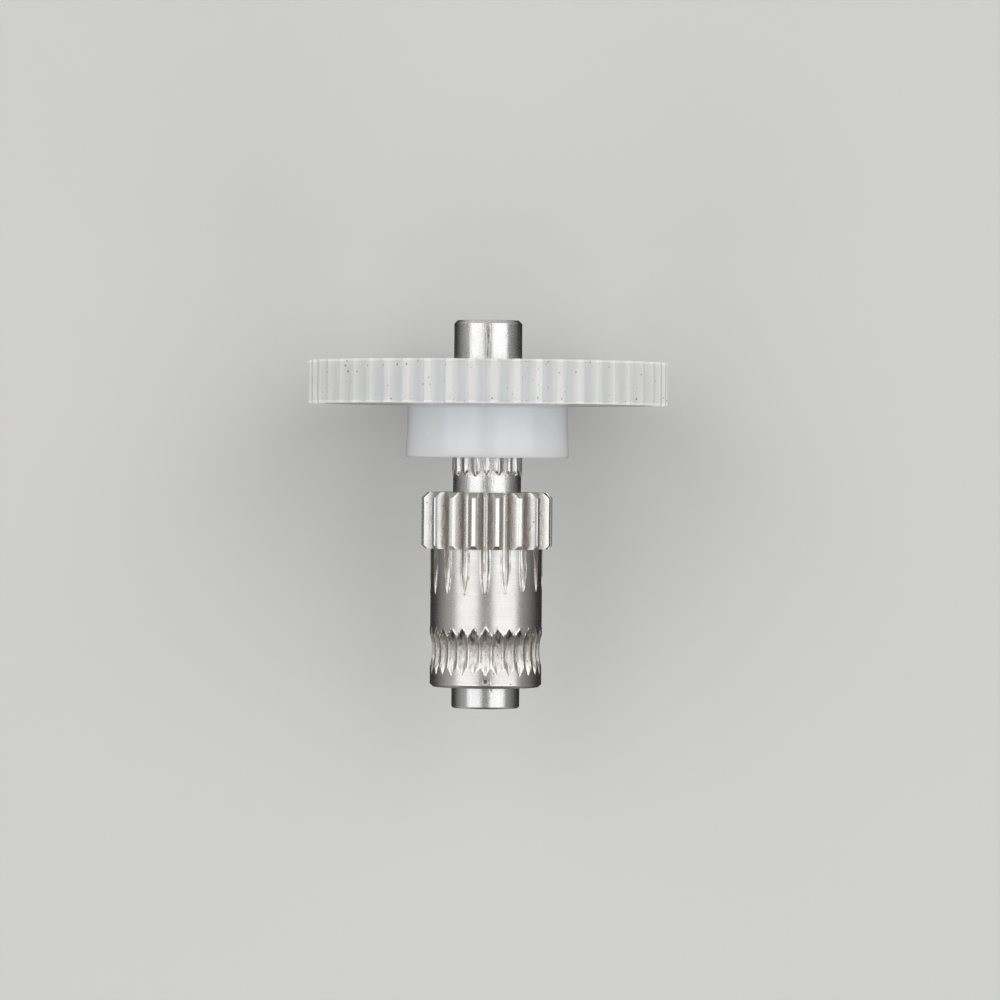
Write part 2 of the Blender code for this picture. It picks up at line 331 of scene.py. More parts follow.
def knurl(angles):
    """A function from y to the radii of the knurl.

    The ridges have two slanting facets each and end in points. The valleys lie below the bar.
    """
    dice = np.random.default_rng(KNURL_DRAWS)
    ridge_shift = dice.uniform(-0.07, 0.07, KNURL_RIDGES)
    ridge_height = dice.uniform(0.8, 1.0, KNURL_RIDGES)
    ridge_slope = dice.uniform(3.0, 4.4, KNURL_RIDGES)
    ridge_start = KNURL_START + dice.uniform(-0.07, 0.07, KNURL_RIDGES) * MM
    place = angles / TAU * KNURL_RIDGES + 0.5
    ridge = np.floor(place).astype(int) % KNURL_RIDGES
    across = (place % 1.0) - 0.5 - ridge_shift[ridge]
    full_height = KNURL_RADIUS - SHAFT_RADIUS

    def radii_at(y):
        past = y - ridge_start[ridge]
        taper = np.clip(past / KNURL_POINT, 0.3, 1) ** 0.7
        facets = ridge_height[ridge] - ridge_slope[ridge] * np.abs(across) / taper
        facets = np.minimum(facets, KNURL_TOP_SHARE * ridge_height[ridge])
        facets = facets + 0.12 * waves(angles, y, KNURL_NOISE, 130, 0.9, count=16)
        ridges = np.minimum(np.clip(facets, 0, 1), np.clip(past / KNURL_RAMP, 0, 1))
        valleys = np.clip(facets, -0.6, 0) * np.clip((past + 0.1 * MM) / (0.6 * MM), 0, 1)
        fall = 1 / (1 + np.exp((y - KNURL_END + 0.2 * MM) / (0.04 * MM)))
        return SHAFT_RADIUS + (ridges + valleys) * full_height * fall

    return radii_at


def shaft_end_rows(angles, face, inward, chamfer):
    """Rows from the mark in the middle of an end face, over its rubbed chamfer, to the bar. The
    chamfer's cavity of -1 paints a highlight on it.
    """
    steps = (
        (0.0, 0.12 * MM, 0.3),
        (0.18 * MM, 0.1 * MM, 0.3),
        (0.4 * MM, 0.01 * MM, 0.0),
        (0.6 * MM, 0.0, 0.0),
        # These chamfer rows carry a painted highlight.
        (SHAFT_RADIUS - chamfer, 0.0, -1.0),
        (SHAFT_RADIUS - 0.035 * MM, chamfer - 0.035 * MM, -1.0),
        (SHAFT_RADIUS - 0.015 * MM, chamfer - 0.015 * MM, -1.0),
        (SHAFT_RADIUS - 0.003 * MM, chamfer + 0.008 * MM, -0.3),
        (SHAFT_RADIUS, chamfer + 0.03 * MM, 0.0),
        (SHAFT_RADIUS, chamfer + 0.06 * MM, 0.0),
    )
    return [(face + inward * depth, angles, radius, cavity) for radius, depth, cavity in steps]


def notched_rows(angles):
    """The bar's drive end, with a small dark notch against the drive gear on the side facing +Z."""
    rows = []
    beside = np.sin(angles) * SHAFT_RADIUS - NOTCH_PLACE_X
    for y in np.linspace(0.3 * MM, DRIVE_START, 19):
        along = (y - DRIVE_START + 0.12 * MM) / (0.13 * MM)
        dent = np.exp(-((beside / (0.06 * MM)) ** 2) - along**2) * (np.cos(angles) > 0)
        rows.append((y, angles, SHAFT_RADIUS - NOTCH_DEPTH * dent, 2.5 * dent))
    return rows


def flat_rows(angles):
    """The shallow flat that the set screw bites on, on the side facing -Z."""
    facing_screw = np.maximum(-np.cos(angles), 0.1)
    flattened = np.minimum(FLAT_HEIGHT / facing_screw, SHAFT_RADIUS)
    start, end = SCREW_PLACE - FLAT_LENGTH / 2, SCREW_PLACE + FLAT_LENGTH / 2
    return [
        (start - FLAT_STEP, angles, SHAFT_RADIUS, 1.0),
        (start, angles, flattened, 1.0),
        (end, angles, flattened, 1.0),
        (end + FLAT_STEP, angles, SHAFT_RADIUS, 1.0),
    ]


def reflection_streak_rows(angles):
    """The bar's other end, with a dark band painted along the side facing +Z, a painted reflection
    that widens towards the end.
    """
    rows = []
    for y in np.linspace(LARGE_END - 0.3 * MM, SHAFT_END - 0.4 * MM, 20):
        width = (0.06 + 0.13 * (y - LARGE_END) / (SHAFT_END - LARGE_END)) * MM
        drift = 0.03 * MM * math.sin(y / (0.35 * MM))
        # The band paints, onto the bar's top, the reflection of the dark gap between the soft boxes.
        painted_reflection = np.exp(-(((np.sin(angles) * SHAFT_RADIUS - drift) / width) ** 4))
        painted_reflection = painted_reflection * (np.cos(angles) > 0) * (1 + 0.5 * waves(angles, y, REFLECTION_STREAK_NOISE, 40, 2.5))
        rows.append((y, angles, SHAFT_RADIUS, 1.8 * painted_reflection))
    return rows


def make_shaft():
    """Ground bar with chamfered ends, faint centre marks, and a rolled knurl with ragged ends."""
    angles = even_angles(SHAFT_COLUMNS)
    knurled = knurl(angles)
    rows = shaft_end_rows(angles, SHAFT_START, 1, SHAFT_EDGE)
    rows += notched_rows(angles)
    # The bar under the drive gear, its flat included, gets cavity 1: painted shade on the covered faces.
    rows.append((DRIVE_START + 0.05 * MM, angles, SHAFT_RADIUS, 1.0))
    rows += flat_rows(angles)
    rows.append((DRIVE_END - 0.1 * MM, angles, SHAFT_RADIUS, 1.0))
    for y in np.linspace(DRIVE_END, KNURL_START - 0.15 * MM, 5):
        rows.append((y, angles, SHAFT_RADIUS, 0.15))
    for y in np.linspace(KNURL_START - 0.1 * MM, HUB_START + 0.1 * MM, 44):
        radii = knurled(y)
        hollow = np.clip((SHAFT_RADIUS + 0.02 * MM - radii) / (0.08 * MM), 0, 1)
        rows.append((y, angles, radii, 0.7 * hollow))
    # The bar inside the hub gets cavity 1: painted shade on the covered faces.
    for y in np.linspace(HUB_START + 0.6 * MM, KNURL_END + 0.1 * MM, 8):
        rows.append((y, angles, knurled(y), 1.0))
    rows += reflection_streak_rows(angles)
    rows += shaft_end_rows(angles, SHAFT_END, -1, SHAFT_CHAMFER)[::-1]
    return shaded("shaft_ground", skin("shaft_ground", rows, bored=False))


def hub_rows(angles):
    """Rows of the hub: bore edge, free face, rounded corner, flare, straight neck and fillet."""
    rows = []

    def ring(y, radius, cavity=0.0):
        rows.append((y, angles, radius, cavity))

    ring(HUB_START + 0.12 * MM, BORE_OVER_KNURL, 1.0)
    ring(HUB_START + 0.02 * MM, BORE_OVER_KNURL + 0.04 * MM, 0.6)
    ring(HUB_START, BORE_OVER_KNURL + 0.09 * MM, 0.3)
    ring(HUB_START, BORE_OVER_KNURL + 0.3 * MM)
    ring(HUB_START, HUB_FREE_RADIUS - 0.4 * MM)
    for turn in np.linspace(0, math.pi / 2, 6):
        y = HUB_START + HUB_EDGE * (1 - math.cos(turn))
        ring(y, HUB_FREE_RADIUS - HUB_EDGE + HUB_EDGE * math.sin(turn))
    neck = LARGE_START - HUB_STRAIGHT
    for share in np.linspace(0.1, 1, 10):
        y = HUB_START + HUB_EDGE + share * (neck - HUB_START - HUB_EDGE)
        wobble = 0.012 * MM * waves(angles, y, HUB_NOISE, 5, 0.2)
        flare = HUB_FREE_RADIUS + (HUB_ROOT_RADIUS - HUB_FREE_RADIUS) * math.sin(share * math.pi / 2)
        ring(y, np.minimum(flare + wobble, HUB_FREE_RADIUS))
    ring(LARGE_START - HUB_FILLET - 0.2 * MM, HUB_ROOT_RADIUS)
    for turn in np.linspace(0, math.pi / 2, 5):
        y = LARGE_START - HUB_FILLET * (1 - math.sin(turn))
        ring(y, HUB_ROOT_RADIUS + HUB_FILLET * (1 - math.cos(turn)), 0.25)
    return rows


def large_tooth_rows(gap):
    """Rows of the large gear's teeth between broken edges, which stand out a little and carry a painted
    highlight.
    """

    def toothed(y, inset=0.0, cavity=None):
        angles, radii, depth = gap.row(LARGE_TIP_RADIUS)
        ragged = waves(angles, y, RIM_NOISE, 160, 3.0)
        radii = radii - inset + LARGE_RAGGEDNESS * ragged
        return y, angles, np.minimum(radii, LARGE_TIP_RADIUS), depth if cavity is None else cavity

    def broken_edge(face, inward, turns):
        rows = []
        for turn in turns:
            lip = 0.02 * MM * math.sin(turn * 2)
            y = face + inward * LARGE_EDGE * (1 - math.cos(turn)) - inward * lip
            # Cavity -1 on the broken edges paints a pale highlight along them.
            rows.append(toothed(y, LARGE_EDGE * (1 - math.sin(turn)), -1.0))
        return rows

    rows = broken_edge(LARGE_START, 1, np.linspace(0, math.pi / 2, 4))
    for y in np.linspace(LARGE_START + 0.25 * MM, LARGE_END - 0.25 * MM, 9):
        rows.append(toothed(y))
    return rows + broken_edge(LARGE_END, -1, np.linspace(math.pi / 2, 0, 4))


def make_large_gear():
    """Hobbed plastic gear and flared hub in one skin, with broken edges and small burrs."""
    radii = (LARGE_ROOT_RADIUS, LARGE_ROOT_RADIUS + LARGE_FLOOR[1], LARGE_TIP_RADIUS)
    gap = GearGap(LARGE_TEETH, 0.0, LARGE_GAP_ANGLE, radii, LARGE_FLOOR)
    gap.lay_columns(LARGE_TIP_RADIUS - 0.06 * MM, floor_steps=4, flank_steps=5, land_steps=3)
    columns = len(gap.row(LARGE_TIP_RADIUS)[0])
    even = even_angles(columns, LARGE_GAP_ANGLE - math.pi / LARGE_TEETH)

    rows = hub_rows(even)
    for radius in np.linspace(HUB_ROOT_RADIUS + 0.5 * MM, LARGE_ROOT_RADIUS - 0.25 * MM, 6):
        rows.append((LARGE_START, even, radius, 0.0))
    rows += large_tooth_rows(gap)
    for radius in np.linspace(LARGE_ROOT_RADIUS - 0.25 * MM, BORE_OVER_SHAFT + 0.3 * MM, 9):
        rows.append((LARGE_END, even, radius, 0.0))
    rows.append((LARGE_END, even, BORE_OVER_SHAFT + 0.1 * MM, 0.3))
    rows.append((LARGE_END - 0.08 * MM, even, BORE_OVER_SHAFT, 1.0))
    rows.append((KNURL_END + 0.05 * MM, even, BORE_OVER_SHAFT, 1.0))
    rows.append((KNURL_END + 0.03 * MM, even, BORE_OVER_KNURL, 1.0))
    return shaded("large_gear_cut", skin("large_gear_cut", rows, bored=True))


def filament_groove(angles):
    """A function from y to the radii and the cavity in the filament groove.

    The groove is scooped out in flutes with narrow raised crests between them. The flutes are
    pointed at both ends, and dirty and torn at the end where the hob left the metal.
    """
    phase = (angles - GROOVE_FLUTE_ANGLE) / TAU * GROOVE_FLUTES
    dice = np.random.default_rng(FLUTE_DRAWS)
    flute_depth = dice.uniform(0.92, 1.05, GROOVE_FLUTES)
    flute_shift = dice.uniform(-0.05, 0.05, GROOVE_FLUTES) * MM
    flute_width = dice.uniform(0.76, 0.93, GROOVE_FLUTES)
    flute = np.floor(phase + 0.5).astype(int) % GROOVE_FLUTES
    off_middle = np.abs(phase - np.floor(phase + 0.5)) * 2
    width = flute_width[flute]
    from_crest = 1 - np.clip(off_middle / width, 0, 1)
    scoop = 1 - (1 - from_crest) ** 3
    lip = np.clip((off_middle - width + 0.06) / (1.06 - width), 0, 1) ** 1.3
    # A line beside each crest, painted darker as shade.
    shade_beside_lip = np.exp(-(((off_middle - width + 0.12) / 0.07) ** 2))

    def bottom_at(y, offset):
        """Radii of the groove's bottom, also where it lies outside the body."""
        towards_end = np.clip((np.abs(offset) / MM - 0.5) / 0.7, 0, 1)
        point = np.where(offset > 0, from_crest**1.2, from_crest**1.8)
        sink = (scoop + (point - scoop) * towards_end) * flute_depth[flute]
        cut = GROOVE_RIDGE_CUT + (GROOVE_FLUTE_CUT - GROOVE_RIDGE_CUT) * sink
        cut = cut + GROOVE_ROUGHNESS * waves(angles, y, GROOVE_NOISE, 110, 1.6, count=18)
        return GROOVE_AXIS_RADIUS - np.sqrt(cut**2 - offset**2) + GROOVE_LIP * lip

    def dirt_at(y, offset, radii):
        """Grime in the flutes, painted shade in lines beside their crests, soot at their far ends, and a
        painted highlight on the crests.
        """
        clean = 0.6 + 0.4 * np.clip(offset / (0.5 * MM), 0, 1)
        grime = clean * np.clip((BODY_RADIUS - radii) / (0.35 * MM), 0, 1) + 0.6 * shade_beside_lip
        soot = 1.7 * np.clip((offset - 0.6 * MM) / (0.6 * MM), 0, 1) * np.clip(from_crest * 2, 0, 1)
        soot = soot * np.clip(1 + 1.6 * waves(angles, y, SOOT_NOISE, 120, 2.0), 0.2, 1.4)
        # The crests' negative cavity paints a highlight on them.
        return (grime + soot) * (1 - lip) - lip

    def grooved(y):
        offset = y - GROOVE_CENTRE - flute_shift[flute] * (1 - off_middle)
        bottom = bottom_at(y, offset)
        at_edge = np.exp(-(((bottom - BODY_RADIUS) / (0.035 * MM)) ** 2))
        burr = at_edge * np.clip(0.9 + 2.2 * waves(angles, y, BURR_NOISE, 150, 2.6), 0, 2) * (offset > 0)
        radii = np.minimum(bottom, BODY_RADIUS) + GROOVE_BURR * burr
        inside = bottom < BODY_RADIUS - 0.01 * MM
        # The burrs' negative cavity paints a highlight on them.
        return radii, np.where(inside, dirt_at(y, offset, radii), 0.0) - np.clip(burr, 0, 1)

    return grooved


def nicked(angles, y):
    """The body's radii and cavity near its chamfer, with a small dent on the side facing +Z."""
    across = (angles + math.pi) % TAU - math.pi
    dent = np.exp(-((across * BODY_RADIUS / (0.17 * MM)) ** 4) - ((y - NICK_PLACE) / (0.15 * MM)) ** 4)
    lip = np.exp(-(((across * BODY_RADIUS - 0.34 * MM) / (0.05 * MM)) ** 2))
    lip *= math.exp(-(((y - NICK_PLACE + 0.1 * MM) / (0.2 * MM)) ** 2))
    return BODY_RADIUS - NICK_DEPTH * dent + 0.012 * MM * lip, 3.0 * dent


def body_start_rows(angles):
    """Rows from the bore over the drive end's face and its raised, rubbed chamfer edge to the nick. The
    edge carries a painted highlight.
    """
    chamfer_end = DRIVE_START + DRIVE_CHAMFER
    steps = (
        # The bore's cavity paints shade into it.
        (DRIVE_START + 0.16 * MM, BORE_OVER_SHAFT, 1.0),
        (DRIVE_START, BORE_OVER_SHAFT + 0.14 * MM, 0.3),
        (DRIVE_START, BORE_OVER_SHAFT + 0.5 * MM, 0.0),
        (DRIVE_START, BODY_RADIUS - DRIVE_CHAMFER - 0.01 * MM, 0.0),
        (DRIVE_START + 0.005 * MM, BODY_RADIUS - DRIVE_CHAMFER, 0.0),
        # Cavity -1 on the chamfer edge paints a highlight on it.
        (chamfer_end - 0.015 * MM, BODY_RADIUS - 0.015 * MM, -1.0),
        (chamfer_end + 0.005 * MM, BODY_RADIUS + 0.004 * MM, -1.0),
        (chamfer_end + 0.035 * MM, BODY_RADIUS + 0.008 * MM, -1.0),
    )
    rows = [(y, angles, radius, cavity) for y, radius, cavity in steps]
    for y in np.linspace(chamfer_end + 0.09 * MM, GROOVE_CENTRE - 1.86 * MM, 9):
        rows.append((y, angles, *nicked(angles, y)))
    return rows


def spur_row(gap, y, outer_radius, rises=(0.0, 0.0), land_cavity=0.0, residue=0.0, **cutter):
    """A row through the spur or the run-out grooves, with grime low in the gaps.

    residue is how much of the gap's floor carries stains in patches. cutter holds lifts and narrowing.
    """
    angles, radii, depth = gap.row(outer_radius, rises=rises, **cutter)
    ragged = 1 + 0.8 * waves(angles, y, SPUR_NOISE, 80, 2.5)
    radii = radii + np.clip(radii - outer_radius, 0, None) * (ragged - 1)
    on_land = radii > outer_radius - 0.035 * MM
    grime = 1.3 * np.clip((depth - 0.35) / 0.3, 0, 1) * (1 - depth**6)
    patches = np.clip(0.2 + 2.4 * waves(angles, y, RESIDUE_NOISE, 25, 0.5), 0, 1)
    grime = grime + residue * patches * np.clip(depth / 0.08, 0, 1)
    return y, angles, radii, np.where(on_land, land_cavity, grime)


def runout_rows(gap):
    """Rows of the grooves that the spur's cutter left in the body, narrower towards their ends.

    The hob fed along while the blank turned, so the ends lie on a helix.
    """
    full_lift = BODY_RADIUS - SPUR_ROOT_RADIUS
    reach = math.sqrt(CUTTER_RADIUS**2 - (CUTTER_RADIUS - full_lift) ** 2)
    gap_angles = SPUR_GAP_ANGLE + TAU * np.arange(SPUR_TEETH) / SPUR_TEETH
    turned = (gap_angles + math.pi) % TAU - math.pi
    cutter_places = RUNOUT_START + reach + RUNOUT_ADVANCE * turned / TAU
    rows = []
    for share in np.linspace(0, 1, 28) ** 1.4:
        y = RUNOUT_START - 0.37 * MM + share * (SPUR_START - RUNOUT_START + 0.37 * MM)
        past = np.clip(cutter_places - y, 0, reach * 1.2)
        lifts = CUTTER_RADIUS - np.sqrt(CUTTER_RADIUS**2 - past**2)
        narrowing = np.clip((reach - past) / RUNOUT_TAPER, 0.02, 1) ** 0.45
        edges = (0.01 * MM, 0.02 * MM)
        rows.append(spur_row(gap, y, BODY_RADIUS, edges, residue=1.1, lifts=lifts, narrowing=narrowing))
    return rows


def spur_rows(gap):
    """Rows of the spur, with both ends of its tips chamfered and its lands rubbed smooth and painted
    with a highlight.
    """
    # The lands' cavity of -1 paints a highlight on them.
    rubbed_highlit = {"rises": (-0.028 * MM, 0.0), "land_cavity": -1.0}
    rows = [
        spur_row(gap, SPUR_START, SPUR_TIP_RADIUS - SPUR_START_CHAMFER),
        spur_row(gap, SPUR_START + SPUR_START_CHAMFER, SPUR_TIP_RADIUS, **rubbed_highlit),
    ]
    for y in np.linspace(SPUR_START + 0.5 * MM, DRIVE_END - 0.6 * MM, 6):
        rows.append(spur_row(gap, y, SPUR_TIP_RADIUS, **rubbed_highlit))
    rows.append(spur_row(gap, DRIVE_END - SPUR_END_CHAMFER, SPUR_TIP_RADIUS, **rubbed_highlit))
    rows.append(spur_row(gap, DRIVE_END, SPUR_TIP_RADIUS - SPUR_END_CHAMFER))
    return rows


def make_drive_gear():
    """Turned and hobbed body: chamfer, filament groove, plain band, run-out grooves and spur."""
    radii = (SPUR_ROOT_RADIUS, BODY_RADIUS, SPUR_TIP_RADIUS)
    gap = GearGap(SPUR_TEETH, SPUR_SHIFT, SPUR_GAP_ANGLE, radii, SPUR_FLOOR, undercut=0.03 * MM)
    gap.lay_columns(BODY_RADIUS, floor_steps=6, flank_steps=6, land_steps=9)
    crowded = gap.row(BODY_RADIUS, lifts=BODY_RADIUS)[0]
    columns_per_gap = len(crowded) // SPUR_TEETH
    even = even_angles(len(crowded), SPUR_GAP_ANGLE - math.pi / SPUR_TEETH)
    even += math.pi / SPUR_TEETH / columns_per_gap

    rows = body_start_rows(even)
    grooved = filament_groove(even)
    for y in np.linspace(GROOVE_CENTRE - 1.83 * MM, GROOVE_CENTRE + 1.83 * MM, 60):
        rows.append((y, even, *grooved(y)))

    # Plain band, along which the columns move to where the run-out grooves need them
    for y in np.linspace(GROOVE_CENTRE + 1.95 * MM, RUNOUT_START - 1.05 * MM, 3):
        rows.append((y, even, BODY_RADIUS, 0.0))
    for share in np.linspace(0, 1, 9)[1:]:
        angles = even + (crowded - even) * share
        rows.append((RUNOUT_START + (0.6 * share - 1.0) * MM, angles, BODY_RADIUS, 0.0))

    rows += runout_rows(gap)
    rows += spur_rows(gap)
    rows.append((DRIVE_END, even, SPUR_ROOT_RADIUS - 0.15 * MM, 0.0))
    # The bore's cavity paints shade into it.
    rows.append((DRIVE_END, even, BORE_OVER_SHAFT + 0.14 * MM, 0.3))
    rows.append((DRIVE_END - 0.14 * MM, even, BORE_OVER_SHAFT, 1.0))
    return shaded("drive_gear_cut", drilled(skin("drive_gear_cut", rows, bored=True)))


def turned_backwards(mesh):
    """Turns a mesh made along +Y so that it runs along -Z, at the set screw's place."""
    mesh.transform(Matrix.Translation((0, SCREW_PLACE, 0)) @ Matrix.Rotation(-math.pi / 2, 4, "X"))
    return mesh


def drilled(mesh):
    """The mesh with the set screw's hole and its countersink cut out of it."""
    angles = even_angles(DRILL_COLUMNS)
    profile = (
        (SHAFT_RADIUS / 2, 0.0),
        (SHAFT_RADIUS / 2, SCREW_HOLE_RADIUS),
        (BODY_RADIUS * 0.955, SCREW_HOLE_RADIUS),
        (BODY_RADIUS * 1.1, SCREW_HOLE_RADIUS + 0.4 * MM),
        (BODY_RADIUS * 1.1, 0.0),
    )
    # The drill carries cavity 1, to paint shade on the hole's walls.
    rows = [(y, angles, radius, 1.0) for y, radius in profile]
    drill = bpy.data.objects.new("drill", turned_backwards(skin("drill", rows, bored=False)))
    blank = bpy.data.objects.new("blank", mesh)
    for helper in (drill, blank):
        bpy.context.scene.collection.objects.link(helper)
    cut = blank.modifiers.new("hole", "BOOLEAN")
    cut.operation = "DIFFERENCE"
    cut.solver = "MANIFOLD"
    cut.object = drill
    bpy.context.view_layer.update()
    graph = bpy.context.evaluated_depsgraph_get()
    result = bpy.data.meshes.new_from_object(blank.evaluated_get(graph))
    for helper in (drill, blank):
        spare = helper.data
        bpy.data.objects.remove(helper)
        bpy.data.meshes.remove(spare)
    result.name = "drive_gear_drilled"
    return result


def make_set_screw():
    """Grub screw with a thread, a hexagon socket and a cup point."""
    angles = even_angles(SCREW_COLUMNS)

    def socket(radius_share=1.0):
        from_flat = (angles % (TAU / 6)) - TAU / 12
        return radius_share * SOCKET_ACROSS_FLATS / 2 / np.cos(from_flat)

    def threaded(y):
        turn = (y / THREAD_PITCH - angles / TAU) % 1.0
        ridge = np.clip(1.25 - np.abs(turn - 0.5) * 4, 0, 1)
        fade = min(1.0, max(0.0, (SCREW_OUTER_END - y) / (0.14 * MM)))
        return SCREW_RADIUS - 0.12 * MM - (0.18 - 0.3 * ridge * fade) * MM * fade

    # Cavity rises down the socket and into the cup point, which paints shade into them.
    rows = [(SCREW_OUTER_END - SOCKET_DEPTH - 0.25 * MM, angles, 0.0, 1.0)]
    rows.append((SCREW_OUTER_END - SOCKET_DEPTH, angles, socket(0.94), 1.0))
    rows.append((SCREW_OUTER_END - SOCKET_DEPTH * 0.9, angles, socket(), 0.9))
    rows.append((SCREW_OUTER_END - 0.06 * MM, angles, socket(), 0.5))
    rows.append((SCREW_OUTER_END, angles, np.maximum(socket(), 0.79 * MM), 0.1))
    rows.append((SCREW_OUTER_END, angles, 0.98 * MM, 0.0))
    rows.append((SCREW_OUTER_END - 0.01 * MM, angles, SCREW_RADIUS - 0.16 * MM, 0.0))
    for y in np.linspace(SCREW_OUTER_END - 0.1 * MM, SCREW_INNER_END + 0.4 * MM, 26):
        rows.append((y, angles, np.minimum(threaded(y), SCREW_RADIUS), 0.6))
    rows.append((SCREW_INNER_END + 0.03 * MM, angles, CUP_RADIUS + 0.05 * MM, 0.8))
    rows.append((SCREW_INNER_END, angles, CUP_RADIUS, 0.8))
    rows.append((SCREW_INNER_END + CUP_DEPTH, angles, 0.0, 1.0))
    mesh = turned_backwards(skin("set_screw_threaded", rows, bored=False))
    return shaded("set_screw_threaded", mesh)


# ---------------------------------------------------------------- materials

# Gain of the painted highlight on rubbed edges
RUBBED_HIGHLIGHT_GAIN = 1.15
PIT_DEPTH = 0.006
TORN_DEPTH = 0.11
SPECK_BROWN = (0.22, 0.16, 0.08)
ACETAL_IOR = 1.56


def add(tree, kind, inputs=None, **settings):
    """A shader node. An input is given by name or number, as a value or as a socket to link."""
    made = tree.nodes.new(kind)
    for name, value in settings.items():
        setattr(made, name, value)
    for name, value in (inputs or {}).items():
        if isinstance(value, bpy.types.NodeSocket):
            tree.links.new(value, made.inputs[name])
        else:
            made.inputs[name].default_value = value
    return made


def in_mm(tree, stretch=(1.0, 1.0, 1.0)):
    """Object coordinates in millimetres, stretched along the row frame's axes."""
    place = add(tree, "ShaderNodeTexCoord").outputs["Object"]
    factor = tuple(share / MM for share in stretch)
    scaled = add(tree, "ShaderNodeVectorMath", {0: place, 1: factor}, operation="MULTIPLY")
    return scaled.outputs["Vector"]


def noise(tree, vector, scale, detail=3.0, roughness=0.55):
    made = add(
        tree,
        "ShaderNodeTexNoise",
        {"Vector": vector, "Scale": scale, "Detail": detail, "Roughness": roughness},
    )
    return made.outputs["Fac"]


def remap(tree, value, low, high, out_low, out_high):
    inputs = {"Value": value, "From Min": low, "From Max": high, "To Min": out_low, "To Max": out_high}
    return add(tree, "ShaderNodeMapRange", inputs).outputs["Result"]


def mixed(tree, factor, first, second):
    """A colour between two, each a socket or a plain (r, g, b)."""
    made = add(tree, "ShaderNodeMix", data_type="RGBA")
    for socket, value in ((made.inputs[0], factor), (made.inputs[6], first), (made.inputs[7], second)):
        if isinstance(value, bpy.types.NodeSocket):
            tree.links.new(value, socket)
        else:
            socket.default_value = (*value, 1.0) if isinstance(value, tuple) else value
    return made.outputs[2]


def maths(tree, operation, first, second=0.0):
    return add(tree, "ShaderNodeMath", {0: first, 1: second}, operation=operation).outputs[0]


def bumped(tree, layers):
    """Normal from (height, depth in mm) layers laid on each other."""
    normal = None
    for height, depth in layers:
        made = add(tree, "ShaderNodeBump", {"Height": height, "Distance": depth * MM, "Strength": 1.0})
        if normal is not None:
            tree.links.new(normal, made.inputs["Normal"])
        normal = made.outputs["Normal"]
    return normal


def new_material(name):
    material = bpy.data.materials.new(name)
    material.use_nodes = True
    return material, material.node_tree, material.node_tree.nodes["Principled BSDF"]


def cavity_of(tree):
    """The cavity attribute: 0 to 1 into hollows, where the steel gets grime and painted shade and the
    plastic painted light, above that stains and the shaft's painted dark reflection, and below 0
    rubbed edges with a painted highlight.
    """
    return add(tree, "ShaderNodeAttribute", attribute_name="cavity").outputs["Fac"]


def pits(tree, cavity):
    """Pits from 0 to 1, more of them where the tool tore the metal in the hollows."""
    cells = add(tree, "ShaderNodeTexVoronoi", {"Vector": in_mm(tree), "Scale": 3.2})
    chance = add(tree, "ShaderNodeSeparateColor", {0: cells.outputs["Color"]}).outputs[0]
    rare = maths(tree, "GREATER_THAN", chance, remap(tree, cavity, 0.2, 0.6, 0.93, 0.72))
    pit = remap(tree, cells.outputs["Distance"], 0.1, 0.2, 1.0, 0.0)
    return maths(tree, "MULTIPLY", pit, rare)


def rubbed_highlight_mask(tree, cavity):
    """How much painted highlight the rubbed edges get, from 0 to 1, in streaks along the axis. The same
    mask makes them smoother.
    """
    rubbed = noise(tree, in_mm(tree, (9.0, 0.08, 9.0)), 1.0, detail=3.0)
    rubbed_highlight = remap(tree, cavity, -0.2, -0.9, 0.0, 1.0)
    return maths(tree, "MULTIPLY", rubbed_highlight, remap(tree, rubbed, 0.42, 0.55, 0.25, 1.0))


def torn_metal(tree, cavity, in_hollow):
    """Height of the torn surface in hollows, which fades out under stains and under the shaft's painted
    dark reflection.
    """
    torn = noise(tree, in_mm(tree, (3.5, 0.9, 3.5)), 1.6, detail=5.0, roughness=0.65)
    torn = maths(tree, "MULTIPLY", maths(tree, "SUBTRACT", torn, 0.5), in_hollow)
    return maths(tree, "MULTIPLY", torn, remap(tree, cavity, 1.0, 1.4, 1.0, 0.2))


